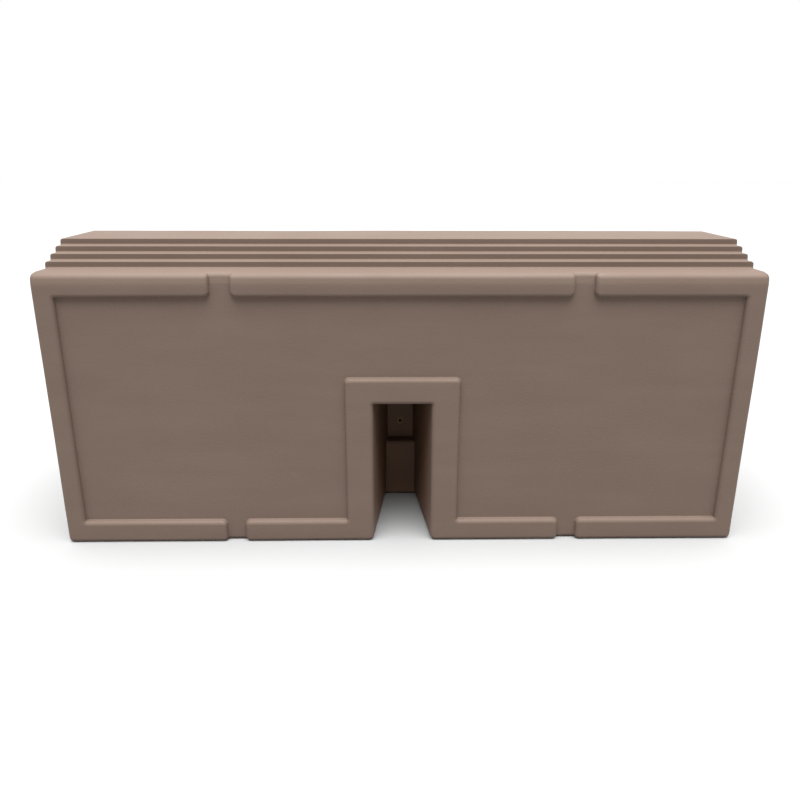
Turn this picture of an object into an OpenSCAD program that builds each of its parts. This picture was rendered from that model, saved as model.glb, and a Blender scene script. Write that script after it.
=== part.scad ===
// Water filled barrier block: a hollow, rotationally moulded polyethylene block with a
// stepped top, raised borders and a hand notch at the base of each long face.
// Frame: origin on the floor under the centre of the block, +X along its length,
// -Y towards its front face, +Z up. Millimetres.

/* [Block] */
// Length of the block along X
block_l = 1830; // [1500:10:2400]
// Depth of the block over its raised borders
block_d = 630; // [570:5:800]
// Height of the two shoulders above the floor
shoulder_h = 738; // [600:1:900]
// Thickness of the moulded wall
wall = 6.4; // [4:0.2:8]

/* [Stepped top] */
// Depth of a shoulder, from the border's face to the first riser
shoulder_w = 94; // [88:1:115]
// Run of each narrow step
step_run = 36; // [25:1:45]
// Rise of each step
step_rise = 15.5; // [10:0.5:22]
// Number of risers on each side
step_count = 4; // [2:1:4]

/* [Raised borders] */
// How far the borders stand proud of the panels
relief = 14; // [10:0.5:20]
// Height of the top and bottom rails
rail_h = 63; // [45:1:90]
// Width of the posts at the ends of each face
post_w = 54; // [40:1:80]
// Width of the gaps in the rails
rail_gap = 49; // [30:1:70]
// Distance of each gap from the middle of the block
gap_offset = 454; // [260:1:620]
// Corner radius of the rails' free ends
rail_corner_r = 15; // [8:1:20]

/* [Notches] */
// Width of a notch at its mouth
notch_w = 155; // [130:1:200]
// Height of a notch above the floor
notch_h = 396; // [300:1:450]
// Width of the front notch at its lower back wall
notch_back_w = 88; // [60:1:110]
// Depth of the front notch below its ledge
notch_low_d = 298; // [240:1:310]
// Depth of the front notch above its ledge
notch_high_d = 338; // [312:1:360]
// Height of the ledge in the front notch
notch_ledge_z = 179; // [120:1:200]
// Width of the border beside a notch
notch_rim_w = 74; // [50:1:90]
// Height of the border over a notch
notch_rim_h = 70; // [45:1:90]
// Distance between the back walls of the two notches
passage_w = 92; // [70:1:110]

/* [Fill port] */
// Outer radius of the threaded neck
fill_neck_r = 25; // [20:0.5:26]
// Length of the neck above its flange
fill_neck_l = 18; // [16:0.5:20]
// Wall of the neck and of the fitting's tail
fill_neck_wall = 5; // [3:0.5:6]
// Radius of the welding flange
fill_flange_r = 34; // [31:0.5:36]
// Wall of the cap's skirt
cap_wall = 5.7; // [4:0.1:6.5]

/* [Drain port] */
// Height of the drain's axis above the floor
drain_z = 42; // [38:1:60]
// Radius of the threaded bore
drain_bore_r = 18; // [14:0.5:20]
// Wall of the threaded barrel
drain_barrel_wall = 5; // [4:0.5:7]
// Length of the barrel behind the wall it is welded in
drain_barrel_tail = 14; // [10:1:20]
// Radius of the welding flange
drain_flange_r = 30; // [28:0.5:33]
// Length of the plug's threaded shank, from under its head
plug_shank_l = 21; // [18:0.5:26]
// Radius of the plug's round head
plug_head_r = 25; // [23:0.5:27]
// Width across the flats of the plug's grip
plug_grip_af = 30; // [26:1:32]

/* [Seals and tethers] */
// Thickness of both gaskets
gasket_t = 3; // [2:0.5:4]
// Thickness of both welding flanges
flange_t = 4; // [3:0.5:5]
// Thickness of the cap's disc
cap_disc_t = 4; // [3:0.5:5]
// Thickness of the plug's round head
plug_head_t = 5; // [4:0.5:6]
// Width of a tether's strap
strap_w = 8; // [6:1:10]
// Thickness of a tether
strap_t = 2; // [1.5:0.1:2.5]
// Radius of the post that a tether's ring turns on
post_r = 10; // [8:0.5:11]
// Outer radius of a tether's ring
ring_r = 16; // [14.5:0.5:18]
// Radius of a tether screw's shank
screw_r = 2.5; // [2:0.5:3]

/* [Link inserts] */
// Distance between the inserts of one end, along Y
link_pitch_y = 300; // [200:5:400]
// Distance between the inserts of one end, along Z
link_pitch_z = 400; // [250:5:450]
// Outer radius of a link insert
link_insert_r = 9; // [8:0.5:11]
// Radius of a link insert's tapped hole
link_hole_r = 5.1; // [4.2:0.1:6]
// Length of a link insert
link_insert_l = 26; // [20:1:32]
// Height of the anchor insert in the front notch
anchor_z = 232; // [210:1:260]
// Outer radius of the anchor insert
anchor_r = 11; // [9:0.5:13]
// Radius of the anchor insert's tapped hole
anchor_hole_r = 4.25; // [3.4:0.05:5.1]
// Length of the anchor insert
anchor_l = 20; // [16:1:24]

/* [Hidden] */

$fn = 96;
thread_gap = 0.3;    // radial clearance between a screwed piece and its fitting
ring_gap = 0.4;      // clearance of a tether's ring all round its post's groove
eye_gap = 0.4;       // radial clearance of a tether's eye on its screw
skirt_gap = 1.5;     // air between the cap's skirt and the flange below it
gasket_gap = 0.5;    // radial clearance of the fill gasket in the cap
lap = 5;             // how far a union's parts run into each other
boss_wall = 6;       // plastic round a screw or an insert
insert_floor = 4;    // metal left behind a tapped hole
clear = 1;           // how far a cut runs past the face it opens
screw_l = 14;        // length of a tether screw in its boss
screw_head_r = 5.5;
screw_head_t = 3;
head_over_post = 5;  // how far a cap's head overhangs the post under it
cap_head_t = 4;
plug_grip_l = 14;
plug_cup_wall = 4.2; // wall of the plug's hollow shank
eye_r = 7;           // outer radius of a tether's eye
collar_tail = 8;     // length of the fill fitting behind the wall
barrel_fit_r = fill_neck_r + 1;
bend_slack = 12;     // inner reach from the cap's edge to the fill tether's bend
drain_bend_r = 6;    // bend radius of the drain tether, on its middle line

half_l = block_l / 2;
half_d = block_d / 2;
top_h = shoulder_h + step_count * step_rise;
panel_y = half_d - relief;
notch_slope = (notch_w - notch_back_w) / 2 / notch_low_d;
rear_notch_d = block_d - notch_high_d - passage_w;
rear_wall_y = half_d - rear_notch_d;
anchor_y = notch_high_d - half_d;
post_l = strap_t + 2 * ring_gap;

fill_y = half_d - shoulder_w / 2;
fill_bore_r = fill_neck_r - fill_neck_wall;
cap_r = fill_neck_r + thread_gap + cap_wall;
neck_top = flange_t + fill_neck_l;
cap_ceiling = neck_top + gasket_t;
cap_top = cap_ceiling + cap_disc_t;
fill_bend_r = bend_slack;
fill_eye_u = cap_r + 2 + 2 * fill_bend_r + 2 * eye_r - 1;

drain_barrel_r = drain_bore_r + drain_barrel_wall;
plug_head_v = flange_t + gasket_t;
plug_top_v = plug_head_v + plug_head_t;
drain_eye_u = drain_flange_r + 3 + drain_bend_r + 2 * eye_r + 3;

// ---- shared shapes -------------------------------------------------------------------

// A solid that runs along X, drawn as an outline in Y and Z.
module along_x(x0, x1) {
    translate([x0, 0, 0]) rotate([90, 0, 90]) linear_extrude(height = x1 - x0) children();
}

// A solid that runs along Y, drawn as an outline in X and Z.
module along_y(y0, y1) {
    translate([0, y1, 0]) rotate([90, 0, 0]) linear_extrude(height = y1 - y0) children();
}

// Places its children at a port, whose own +Z then leaves the block.
module at_fill() {
    translate([0, fill_y, shoulder_h]) children();
}

module at_drain() {
    translate([0, rear_wall_y, drain_z]) rotate([-90, 0, 0]) children();
}

module disc(r, v0, v1) {
    translate([0, 0, v0]) cylinder(r = r, h = v1 - v0);
}

module bar(x0, z0, x1, z1, r) {
    translate([x0 + r, z0]) square([x1 - x0 - 2 * r, z1 - z0]);
    translate([x0, z0 + r]) square([x1 - x0, z1 - z0 - 2 * r]);
    for (x = [x0 + r, x1 - r], z = [z0 + r, z1 - r]) translate([x, z]) circle(r = r);
}

// ---- the block -----------------------------------------------------------------------

// One side of the stepped outline, from the floor up to the top, inset by a wall.
function stair(inset) = concat(
    [[panel_y - inset, inset], [panel_y - inset, shoulder_h - inset]],
    [for (k = [0 : step_count - 1], up = [0, 1])
        [half_d - shoulder_w - k * step_run - inset, shoulder_h + (k + up) * step_rise - inset]]
);

module profile(inset) {
    side = stair(inset);
    last = len(side) - 1;
    polygon(concat(side, [for (i = [last : -1 : 0]) [-side[i][0], side[i][1]]]));
}

module face_border_outline(inset) {
    r = rail_corner_r - inset;
    past = 2 * rail_corner_r;
    free_end = gap_offset + rail_gap / 2 + inset;
    middle_end = gap_offset - rail_gap / 2 - inset;
    rim_x = notch_w / 2 + notch_rim_w - inset;
    intersection() {
        translate([inset - half_l, inset])
            square([block_l - 2 * inset, shoulder_h - 2 * inset]);
        union() {
            for (side = [0, 1]) mirror([side, 0]) {
                bar(half_l - post_w + inset, -past, half_l + past, shoulder_h + past, r);
                bar(free_end, shoulder_h - rail_h + inset, half_l + past, shoulder_h + past, r);
                bar(free_end, -past, half_l + past, rail_h - inset, r);
            }
            bar(-middle_end, shoulder_h - rail_h + inset, middle_end, shoulder_h + past, r);
            bar(-middle_end, -past, middle_end, rail_h - inset, r);
            bar(-rim_x, -past, rim_x, notch_h + notch_rim_h - inset, min(r, 8));
        }
    }
}

module end_window(inset) {
    y = half_d - post_w + inset;
    translate([-y, rail_h - inset])
        square([2 * y, shoulder_h - 2 * rail_h + 2 * inset]);
}

// The whole block without its notches; with an inset, the space inside its wall.
module block(inset) {
    core_x = half_l - relief - inset;
    along_x(-core_x, core_x) profile(inset);
    for (side = [0, 1]) mirror([side, 0, 0])
        along_x(core_x - lap, half_l - inset) difference() {
            profile(inset);
            end_window(inset);
        }
    for (side = [0, 1]) mirror([0, side, 0])
        along_y(panel_y - inset - lap, half_d - inset) face_border_outline(inset);
}

function notch_half(y, grow) =
    notch_w / 2 - notch_slope * y + grow * sqrt(1 + notch_slope * notch_slope);

// A tapered hole from the front face inwards, as deep as asked and grown by a wall.
module notch_cut(depth, grow) {
    back = depth + grow;
    mouth = -2 * lap;
    translate([0, -half_d, -clear]) linear_extrude(height = clear + notch_h + grow) polygon([
        [-notch_half(mouth, grow), mouth], [notch_half(mouth, grow), mouth],
        [notch_half(back, grow), back], [-notch_half(back, grow), back]
    ]);
}

// The front notch steps back over its ledge; the rear one is shallower and plain.
module notches(grow) {
    ledge_y = notch_low_d + grow - half_d;
    difference() {
        notch_cut(notch_high_d, grow);
        translate([-notch_w, ledge_y, -2 * clear])
            cube([2 * notch_w, notch_high_d, notch_ledge_z - grow + 2 * clear]);
    }
    mirror([0, 1, 0]) notch_cut(rear_notch_d, grow);
}

module at_link_points(side) {
    for (y = [-0.5, 0.5], z = [-0.5, 0.5])
        translate([side * (half_l - relief), y * link_pitch_y, shoulder_h / 2 + z * link_pitch_z])
            rotate([0, side * 90, 0]) children();
}

module at_anchor() {
    translate([0, anchor_y, anchor_z]) rotate([90, 0, 0]) children();
}

module at_fill_screw() {
    at_fill() translate([fill_eye_u, 0, 0]) children();
}

module at_drain_screw() {
    at_drain() translate([0, -drain_eye_u, 0]) children();
}

module bosses() {
    for (side = [-1, 1]) at_link_points(side)
        disc(link_insert_r + boss_wall, -link_insert_l - boss_wall, -wall / 2);
    at_anchor() disc(anchor_r + boss_wall, -anchor_l - boss_wall, -wall / 2);
    at_fill_screw() disc(screw_r + boss_wall, -screw_l - boss_wall, -wall / 2);
    at_drain_screw() disc(screw_r + boss_wall, -screw_l - boss_wall, -wall / 2);
}

module fitted_holes() {
    for (side = [-1, 1]) at_link_points(side) disc(link_insert_r, -link_insert_l, clear);
    at_anchor() disc(anchor_r, -anchor_l, clear);
    at_fill_screw() disc(screw_r, -screw_l, clear);
    at_drain_screw() disc(screw_r, -screw_l, clear);
    at_fill() disc(barrel_fit_r, -wall - lap, clear);
    at_drain() disc(drain_barrel_r, -wall - lap, clear);
}

module barrier_shell() {
    color([0.47, 0.40, 0.35]) difference() {
        union() {
            difference() {
                block(0);
                notches(0);
                difference() {
                    block(wall);
                    notches(wall);
                }
            }
            bosses();
        }
        fitted_holes();
    }
}

// ---- ports ---------------------------------------------------------------------------

module fill_port_collar() {
    color([0.33, 0.28, 0.25]) at_fill() difference() {
        union() {
            disc(fill_flange_r, 0, flange_t);
            disc(fill_neck_r, 0, neck_top);
            disc(barrel_fit_r, -wall - collar_tail, flange_t);
        }
        disc(fill_bore_r, -wall - collar_tail - clear, neck_top + clear);
    }
}

module fill_cap() {
    color([0.17, 0.16, 0.15]) at_fill() {
        difference() {
            disc(cap_r, flange_t + skirt_gap, cap_top);
            disc(fill_neck_r + thread_gap, flange_t, cap_ceiling);
        }
        disc(post_r, cap_top - clear, cap_top + post_l + clear);
        disc(post_r + head_over_post, cap_top + post_l, cap_top + post_l + cap_head_t);
    }
}

module fill_cap_gasket() {
    color([0.08, 0.08, 0.08]) at_fill() difference() {
        disc(fill_neck_r + thread_gap - gasket_gap, neck_top, cap_ceiling);
        disc(fill_bore_r, neck_top - clear, cap_ceiling + clear);
    }
}

module drain_port_collar() {
    color([0.33, 0.28, 0.25]) at_drain() difference() {
        union() {
            disc(drain_flange_r, 0, flange_t);
            disc(drain_barrel_r, -wall - drain_barrel_tail, flange_t);
        }
        disc(drain_bore_r, -wall - drain_barrel_tail - clear, flange_t + clear);
    }
}

module drain_plug() {
    shank_r = drain_bore_r - thread_gap;
    grip_r = plug_grip_af / 2 / cos(30);
    color([0.17, 0.16, 0.15]) at_drain() difference() {
        union() {
            disc(shank_r, plug_head_v - plug_shank_l, plug_head_v + clear);
            disc(plug_head_r, plug_head_v, plug_top_v);
            disc(post_r, plug_top_v - clear, plug_top_v + post_l + clear);
            translate([0, 0, plug_top_v + post_l])
                cylinder(r = grip_r, h = plug_grip_l, $fn = 6);
        }
        disc(shank_r - plug_cup_wall, plug_head_v - plug_shank_l - clear, plug_head_v);
    }
}

module drain_plug_gasket() {
    color([0.08, 0.08, 0.08]) at_drain() difference() {
        disc(plug_head_r - clear, flange_t, plug_head_v);
        disc(drain_bore_r, flange_t - clear, plug_head_v + clear);
    }
}

// ---- tethers -------------------------------------------------------------------------

// A quarter of a strap's bend about (u, v), in the quadrant that su and sv point to.
module bend(u, v, r, su, sv) {
    intersection() {
        translate([u, v]) difference() {
            circle(r = r + strap_t / 2);
            circle(r = r - strap_t / 2);
        }
        translate([u + (su < 0 ? -2 * r : 0), v + (sv < 0 ? -2 * r : 0)]) square(2 * r);
    }
}

// Ring on a post, S-shaped strap, and eye on a screw; u runs to the screw, v is the axis.
module tether(ring_v, edge_u, r, eye_u) {
    ring_mid = ring_v + strap_t / 2;
    base_mid = strap_t / 2;
    drop_u = edge_u + r;
    difference() {
        union() {
            disc(ring_r, ring_v, ring_v + strap_t);
            rotate([90, 0, 0]) translate([0, 0, -strap_w / 2])
                linear_extrude(height = strap_w) {
                    translate([0, ring_v]) square([edge_u, strap_t]);
                    bend(edge_u, ring_mid - r, r, 1, 1);
                    translate([drop_u - strap_t / 2, base_mid + r])
                        square([strap_t, ring_mid - base_mid - 2 * r]);
                    bend(drop_u + r, base_mid + r, r, -1, -1);
                    translate([drop_u + r, 0]) square([eye_u - drop_u - r, strap_t]);
                }
            translate([eye_u, 0, 0]) disc(eye_r, 0, strap_t);
        }
        disc(post_r + ring_gap, ring_v - clear, ring_v + strap_t + clear);
        translate([eye_u, 0, 0]) disc(screw_r + eye_gap, -clear, strap_t + clear);
    }
}

module tether_screw() {
    disc(screw_r, -screw_l, strap_t + clear);
    disc(screw_head_r, strap_t, strap_t + screw_head_t);
}

module fill_cap_tether() {
    color([0.10, 0.10, 0.10]) at_fill()
        tether(cap_top + ring_gap, cap_r + 2, fill_bend_r, fill_eye_u);
}

module fill_tether_screw() {
    color([0.75, 0.75, 0.75]) at_fill_screw() tether_screw();
}

module drain_plug_tether() {
    color([0.10, 0.10, 0.10]) at_drain() rotate([0, 0, -90])
        tether(plug_top_v + ring_gap, drain_flange_r + 3 - drain_bend_r, drain_bend_r, drain_eye_u);
}

module drain_tether_screw() {
    color([0.75, 0.75, 0.75]) at_drain_screw() tether_screw();
}

// ---- inserts -------------------------------------------------------------------------

module insert(r, l, hole_r) {
    difference() {
        disc(r, -l, 0);
        disc(hole_r, insert_floor - l, clear);
    }
}

module left_link_inserts() {
    color([0.78, 0.62, 0.33]) at_link_points(-1)
        insert(link_insert_r, link_insert_l, link_hole_r);
}

module right_link_inserts() {
    color([0.78, 0.62, 0.33]) at_link_points(1)
        insert(link_insert_r, link_insert_l, link_hole_r);
}

module pocket_anchor_insert() {
    color([0.78, 0.62, 0.33]) at_anchor() insert(anchor_r, anchor_l, anchor_hole_r);
}

barrier_shell();
fill_port_collar();
fill_cap();
fill_cap_gasket();
fill_cap_tether();
fill_tether_screw();
drain_port_collar();
drain_plug();
drain_plug_gasket();
drain_plug_tether();
drain_tether_screw();
left_link_inserts();
right_link_inserts();
pocket_anchor_insert();
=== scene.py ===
"""Finished look of a water filled barrier block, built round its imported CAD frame.

The block is a hollow, rotationally moulded polyethylene shell with a stepped top, raised
borders and a notch at the base of each long face. A screw cap closes the fill port on its rear
shoulder, a screw plug closes the drain at the back of the rear notch, and brass inserts sit in
its ends and in the front notch. Everything is in metres, in the frame of the CAD model.
"""

from __future__ import annotations

import logging
import math
from dataclasses import dataclass
from enum import Enum
from typing import Callable, Sequence

import bmesh
import bpy
from mathutils import Matrix, Vector, noise

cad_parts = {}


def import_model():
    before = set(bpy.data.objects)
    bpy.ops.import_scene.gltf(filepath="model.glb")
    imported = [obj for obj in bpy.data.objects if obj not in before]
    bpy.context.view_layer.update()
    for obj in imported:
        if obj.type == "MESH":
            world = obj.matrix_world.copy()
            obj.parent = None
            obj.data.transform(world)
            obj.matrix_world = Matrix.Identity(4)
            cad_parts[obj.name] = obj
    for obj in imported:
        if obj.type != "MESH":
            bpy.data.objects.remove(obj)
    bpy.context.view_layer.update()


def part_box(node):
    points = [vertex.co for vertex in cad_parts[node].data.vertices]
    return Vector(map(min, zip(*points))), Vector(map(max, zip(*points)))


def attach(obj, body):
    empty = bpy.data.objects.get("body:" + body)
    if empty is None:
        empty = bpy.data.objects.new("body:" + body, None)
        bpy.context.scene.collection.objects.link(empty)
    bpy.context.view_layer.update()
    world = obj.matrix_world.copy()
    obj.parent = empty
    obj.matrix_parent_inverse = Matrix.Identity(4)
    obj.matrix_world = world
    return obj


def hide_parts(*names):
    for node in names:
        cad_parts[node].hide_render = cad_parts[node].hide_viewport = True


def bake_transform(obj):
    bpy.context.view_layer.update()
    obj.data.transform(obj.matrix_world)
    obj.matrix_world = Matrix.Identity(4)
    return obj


LOG = logging.getLogger("barrier")
MM = 0.001
Colour = tuple[float, float, float]


# ---- shader maths ---------------------------------------------------------------------


class Signal:
    """A shader socket that can be used in arithmetic."""

    def __init__(self, graph: "NodeGraph", socket: bpy.types.NodeSocket) -> None:
        """Wraps a socket.

        Args:
            graph: the material that the socket is in.
            socket: an output socket.
        """
        self.graph = graph
        self.socket = socket

    def _math(self, operation: str, left: object, right: object) -> "Signal":
        """Adds one Math node and returns its result."""
        return self.graph.node("ShaderNodeMath", {"operation": operation}, {0: left, 1: right})

    def __add__(self, other: object) -> "Signal":
        """Returns self + other."""
        return self._math("ADD", self, other)

    __radd__ = __add__

    def __sub__(self, other: object) -> "Signal":
        """Returns self - other."""
        return self._math("SUBTRACT", self, other)

    def __rsub__(self, other: object) -> "Signal":
        """Returns other - self."""
        return self._math("SUBTRACT", other, self)

    def __mul__(self, other: object) -> "Signal":
        """Returns self * other."""
        return self._math("MULTIPLY", self, other)

    __rmul__ = __mul__

    def __truediv__(self, other: object) -> "Signal":
        """Returns self / other."""
        return self._math("DIVIDE", self, other)

    def between(self, low: float, high: float) -> "Signal":
        """Returns 0 below low, 1 above high, and a smooth rise from one to the other.

        Args:
            low: the value where the rise starts.
            high: the value where it ends.
        """
        settings = {"interpolation_type": "SMOOTHSTEP"}
        return self.graph.node("ShaderNodeMapRange", settings, {0: self, 1: low, 2: high})


class NodeGraph:
    """The nodes of one material, with one method that makes them all."""

    def __init__(self, name: str) -> None:
        """Makes a new material with a Principled shader in it.

        Args:
            name: the material's name.
        """
        self.material = bpy.data.materials.new(name)
        self.material.use_nodes = True
        self.tree = self.material.node_tree
        self.shader = self.tree.nodes["Principled BSDF"]

    def node(
        self, kind: str, settings: dict[str, object], inputs: dict[object, object], out: object = 0
    ) -> Signal:
        """Adds a node.

        Args:
            kind: the node's type.
            settings: its own properties; "stops" holds a ramp's (position, colour) pairs.
            inputs: values or signals for its sockets, by number or name.
            out: the output socket to return.

        Returns:
            The chosen output.
        """
        made = self.tree.nodes.new(kind)
        for key, value in settings.items():
            if key == "stops":
                self._set_stops(made.color_ramp, value)
            else:
                setattr(made, key, value)
        for key, value in inputs.items():
            if isinstance(value, Signal):
                self.tree.links.new(value.socket, made.inputs[key])
            else:
                made.inputs[key].default_value = value
        return Signal(self, made.outputs[out])

    @staticmethod
    def _set_stops(ramp: bpy.types.ColorRamp, stops: Sequence[tuple[float, Colour]]) -> None:
        """Gives a colour ramp its stops."""
        while len(ramp.elements) < len(stops):
            ramp.elements.new(1.0)
        for element, (position, colour) in zip(ramp.elements, stops):
            element.position = position
            element.color = (*colour, 1.0)

    def place(self) -> Signal:
        """Returns the object's own coordinates, in metres."""
        return self.node("ShaderNodeTexCoord", {}, {}, "Object")

    def stretched(self, scale: Colour) -> Signal:
        """Returns the object's coordinates with each axis scaled."""
        return self.node("ShaderNodeMapping", {}, {"Vector": self.place(), "Scale": scale})

    def noise(self, scale: float, detail: float = 2.0, at: Signal | None = None) -> Signal:
        """Returns a noise value.

        Args:
            scale: features per metre.
            detail: octaves.
            at: where to read it, or None for the object's coordinates.
        """
        values = {"Vector": at or self.place(), "Scale": scale, "Detail": detail}
        return self.node("ShaderNodeTexNoise", {"noise_dimensions": "3D"}, values, 0)

    def mix(self, factor: Signal | float, below: object, above: object) -> Signal:
        """Returns a mix of two colours."""
        made = self.tree.nodes.new("ShaderNodeMix")
        made.data_type = "RGBA"
        for key, value in ((0, factor), (6, below), (7, above)):
            if isinstance(value, Signal):
                self.tree.links.new(value.socket, made.inputs[key])
            else:
                made.inputs[key].default_value = value if key == 0 else (*value, 1.0)
        return Signal(self, made.outputs[2])

    def bump(self, height: Signal, depth: float, below: Signal | None = None) -> Signal:
        """Returns a normal that a height has roughened.

        Args:
            height: a signal from 0 to 1.
            depth: how far 0 to 1 is, in metres.
            below: a coarser bump that this one lies on.
        """
        values: dict[object, object] = {"Height": height, "Distance": depth, "Strength": 1.0}
        if below is not None:
            values["Normal"] = below
        return self.node("ShaderNodeBump", {}, values)

    def finish(self, constants: dict[str, float], **links: Signal) -> bpy.types.Material:
        """Sets the shader's own sockets and returns the material.

        Args:
            constants: plain values by socket name.
            links: signals by socket name, with _ for a space.
        """
        for key, value in constants.items():
            self.shader.inputs[key].default_value = value
        for key, signal in links.items():
            self.tree.links.new(signal.socket, self.shader.inputs[key.replace("_", " ")])
        return self.material


# ---- finishes -------------------------------------------------------------------------


@dataclass(frozen=True)
class MouldedPolyethylene:
    """Rotationally moulded polyethylene: dull, faintly mottled, with a fine powder grain."""

    name: str = "moulded polyethylene"
    tone: Colour = (0.098, 0.0685, 0.0535)
    pale: Colour = (0.132, 0.0985, 0.080)
    deep: Colour = (0.085, 0.058, 0.044)
    # painted shade: a darker, warmer tone for the walls deep in the notches
    painted_shade_tone: Colour = (0.110, 0.058, 0.033)
    roughness: float = 0.56
    grain_depth: float = 0.00016
    peel_depth: float = 0.00035

    def build(self) -> bpy.types.Material:
        """Returns the material."""
        g = NodeGraph(self.name)
        mottle = g.noise(5.0, 3.0).between(0.32, 0.72)
        flow = g.noise(1.0, 2.0, g.stretched((3.0, 3.0, 16.0))).between(0.35, 0.75)
        fleck = g.noise(900.0, 1.0).between(0.62, 0.80)
        rubbed = g.noise(34.0, 4.0).between(0.60, 0.74) * g.noise(7.0, 2.0).between(0.5, 0.7)
        edge = g.node("ShaderNodeNewGeometry", {}, {}, "Pointiness").between(0.515, 0.60)
        worn = edge * g.noise(60.0, 3.0).between(0.35, 0.7)
        colour = g.mix(mottle * 0.22, self.tone, self.deep)
        colour = g.mix(flow * 0.14, colour, self.pale)
        colour = g.mix(fleck * 0.20, colour, self.pale)
        colour = g.mix(rubbed * 0.16 + worn * 0.28, colour, self.pale)
        # painted shade: deep in the notches the colour turns darker and warmer, standing in for shade and
        # light bounced between the walls
        colour = g.mix(self.painted_shade_mask(g) * 0.85, colour, self.painted_shade_tone)
        peel = g.bump(g.noise(160.0, 2.0), self.peel_depth)
        grain = g.bump(g.noise(1100.0, 1.0), self.grain_depth, peel)
        rough = self.roughness + 0.07 * mottle - 0.08 * rubbed
        plain = {"IOR": 1.5, "Specular IOR Level": 0.18}
        return g.finish(plain, Base_Color=colour, Roughness=rough, Normal=grain)

    @staticmethod
    def painted_shade_mask(g: NodeGraph) -> Signal:
        """Returns 1 deep in the two notches and 0 outside: the mask of painted shade that turns their walls
        darker and warmer.
        """
        place = g.node("ShaderNodeSeparateXYZ", {}, {0: g.place()})
        x, y, z = (Signal(g, place.socket.node.outputs[k]) for k in range(3))
        near = 1.0 - (x * x).between(0.0055, 0.0075)
        deep = 1.0 - (y * y).between(0.045, 0.092)
        low = 1.0 - z.between(0.396, 0.402)
        return near * deep * low


@dataclass(frozen=True)
class MouldedFitting:
    """Injection moulded plastic: smoother, with flow lines, patches of dust and light wear."""

    name: str
    tone: Colour
    pale: Colour
    roughness: float

    def build(self) -> bpy.types.Material:
        """Returns the material."""
        g = NodeGraph(self.name)
        cloud = g.noise(45.0, 3.0).between(0.35, 0.7)
        dust = g.noise(240.0, 4.0).between(0.55, 0.75)
        edge = g.node("ShaderNodeNewGeometry", {}, {}, "Pointiness").between(0.52, 0.60)
        colour = g.mix(cloud * 0.25 + dust * 0.18 + edge * 0.22, self.tone, self.pale)
        spark = g.bump(g.noise(1500.0, 2.0), 0.00010)
        rough = self.roughness + 0.10 * cloud + 0.12 * dust
        return g.finish({"Specular IOR Level": 0.45}, Base_Color=colour, Roughness=rough, Normal=spark)


@dataclass(frozen=True)
class MouldedRubber:
    """Black elastomer with a dry bloom and fine pits."""

    name: str = "black rubber"
    tone: Colour = (0.014, 0.014, 0.015)
    bloom: Colour = (0.065, 0.062, 0.058)

    def build(self) -> bpy.types.Material:
        """Returns the material."""
        g = NodeGraph(self.name)
        bloom = g.noise(110.0, 4.0).between(0.42, 0.75)
        pits = g.noise(2200.0, 1.0).between(0.3, 0.7)
        colour = g.mix(bloom * 0.6, self.tone, self.bloom)
        normal = g.bump(pits, 0.00008)
        rough = 0.62 + 0.18 * bloom
        return g.finish({"Specular IOR Level": 0.35}, Base_Color=colour, Roughness=rough, Normal=normal)


@dataclass(frozen=True)
class TurnedMetal:
    """Machined metal with fine tool lines, a hint of tarnish and wiped patches."""

    name: str
    tone: Colour
    tarnish: Colour
    roughness: float

    def build(self) -> bpy.types.Material:
        """Returns the material."""
        g = NodeGraph(self.name)
        lines = g.noise(1.0, 2.0, g.stretched((5200.0, 900.0, 900.0)))
        stain = g.noise(170.0, 4.0).between(0.45, 0.72)
        colour = g.mix(stain * 0.55, self.tone, self.tarnish)
        normal = g.bump(lines, 0.00003)
        rough = self.roughness + 0.22 * stain + 0.06 * lines
        return g.finish({"Metallic": 1.0}, Base_Color=colour, Roughness=rough, Normal=normal)


class Finish(Enum):
    """The finishes of this block's pieces."""

    SHELL = MouldedPolyethylene()
    FITTING = MouldedFitting("welded fitting", (0.090, 0.063, 0.050), (0.17, 0.13, 0.11), 0.42)
    CAP = MouldedFitting("filled nylon", (0.018, 0.017, 0.017), (0.075, 0.070, 0.066), 0.38)
    RUBBER = MouldedRubber()
    STEEL = TurnedMetal("stainless steel", (0.62, 0.62, 0.61), (0.38, 0.36, 0.33), 0.24)
    BRASS = TurnedMetal("turned brass", (0.62, 0.42, 0.16), (0.30, 0.19, 0.08), 0.27)
    # painted shade: a much darker copy of the brass, for the insert deep in the front notch
    SHADED_BRASS = TurnedMetal("brass with painted shade", (0.10, 0.065, 0.035), (0.05, 0.034, 0.022), 0.45)


class Wardrobe:
    """Builds each finish once and hands out its material."""

    def __init__(self) -> None:
        """Starts with no material built."""
        self._built: dict[Finish, bpy.types.Material] = {}

    def __getitem__(self, finish: Finish) -> bpy.types.Material:
        """Returns a finish's material."""
        if finish not in self._built:
            self._built[finish] = finish.value.build()
        return self._built[finish]


# ---- mesh helpers ---------------------------------------------------------------------


def as_object(name: str, bm: bmesh.types.BMesh) -> bpy.types.Object:
    """Turns a bmesh into an object of the scene and frees it.

    Args:
        name: the object's name.
        bm: its mesh.
    """
    mesh = bpy.data.meshes.new(name)
    bm.to_mesh(mesh)
    bm.free()
    obj = bpy.data.objects.new(name, mesh)
    bpy.context.scene.collection.objects.link(obj)
    return obj


def applied(obj: bpy.types.Object) -> bpy.types.Object:
    """Applies an object's modifiers to its mesh and returns it."""
    graph = bpy.context.evaluated_depsgraph_get()
    solid = bpy.data.meshes.new_from_object(obj.evaluated_get(graph))
    obj.modifiers.clear()
    obj.data = solid
    return obj


def carve(body: bpy.types.Object, cutters: Sequence[bpy.types.Object], keep: str = "DIFFERENCE") -> None:
    """Cuts solids from a body, or joins them to it, and deletes them.

    Args:
        body: the solid that is changed.
        cutters: closed solids.
        keep: DIFFERENCE or UNION.
    """
    for cutter in cutters:
        cut = body.modifiers.new("carve", "BOOLEAN")
        cut.operation = keep
        cut.solver = "EXACT"
        cut.object = cutter
    applied(body)
    for cutter in cutters:
        bpy.data.objects.remove(cutter)


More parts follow.
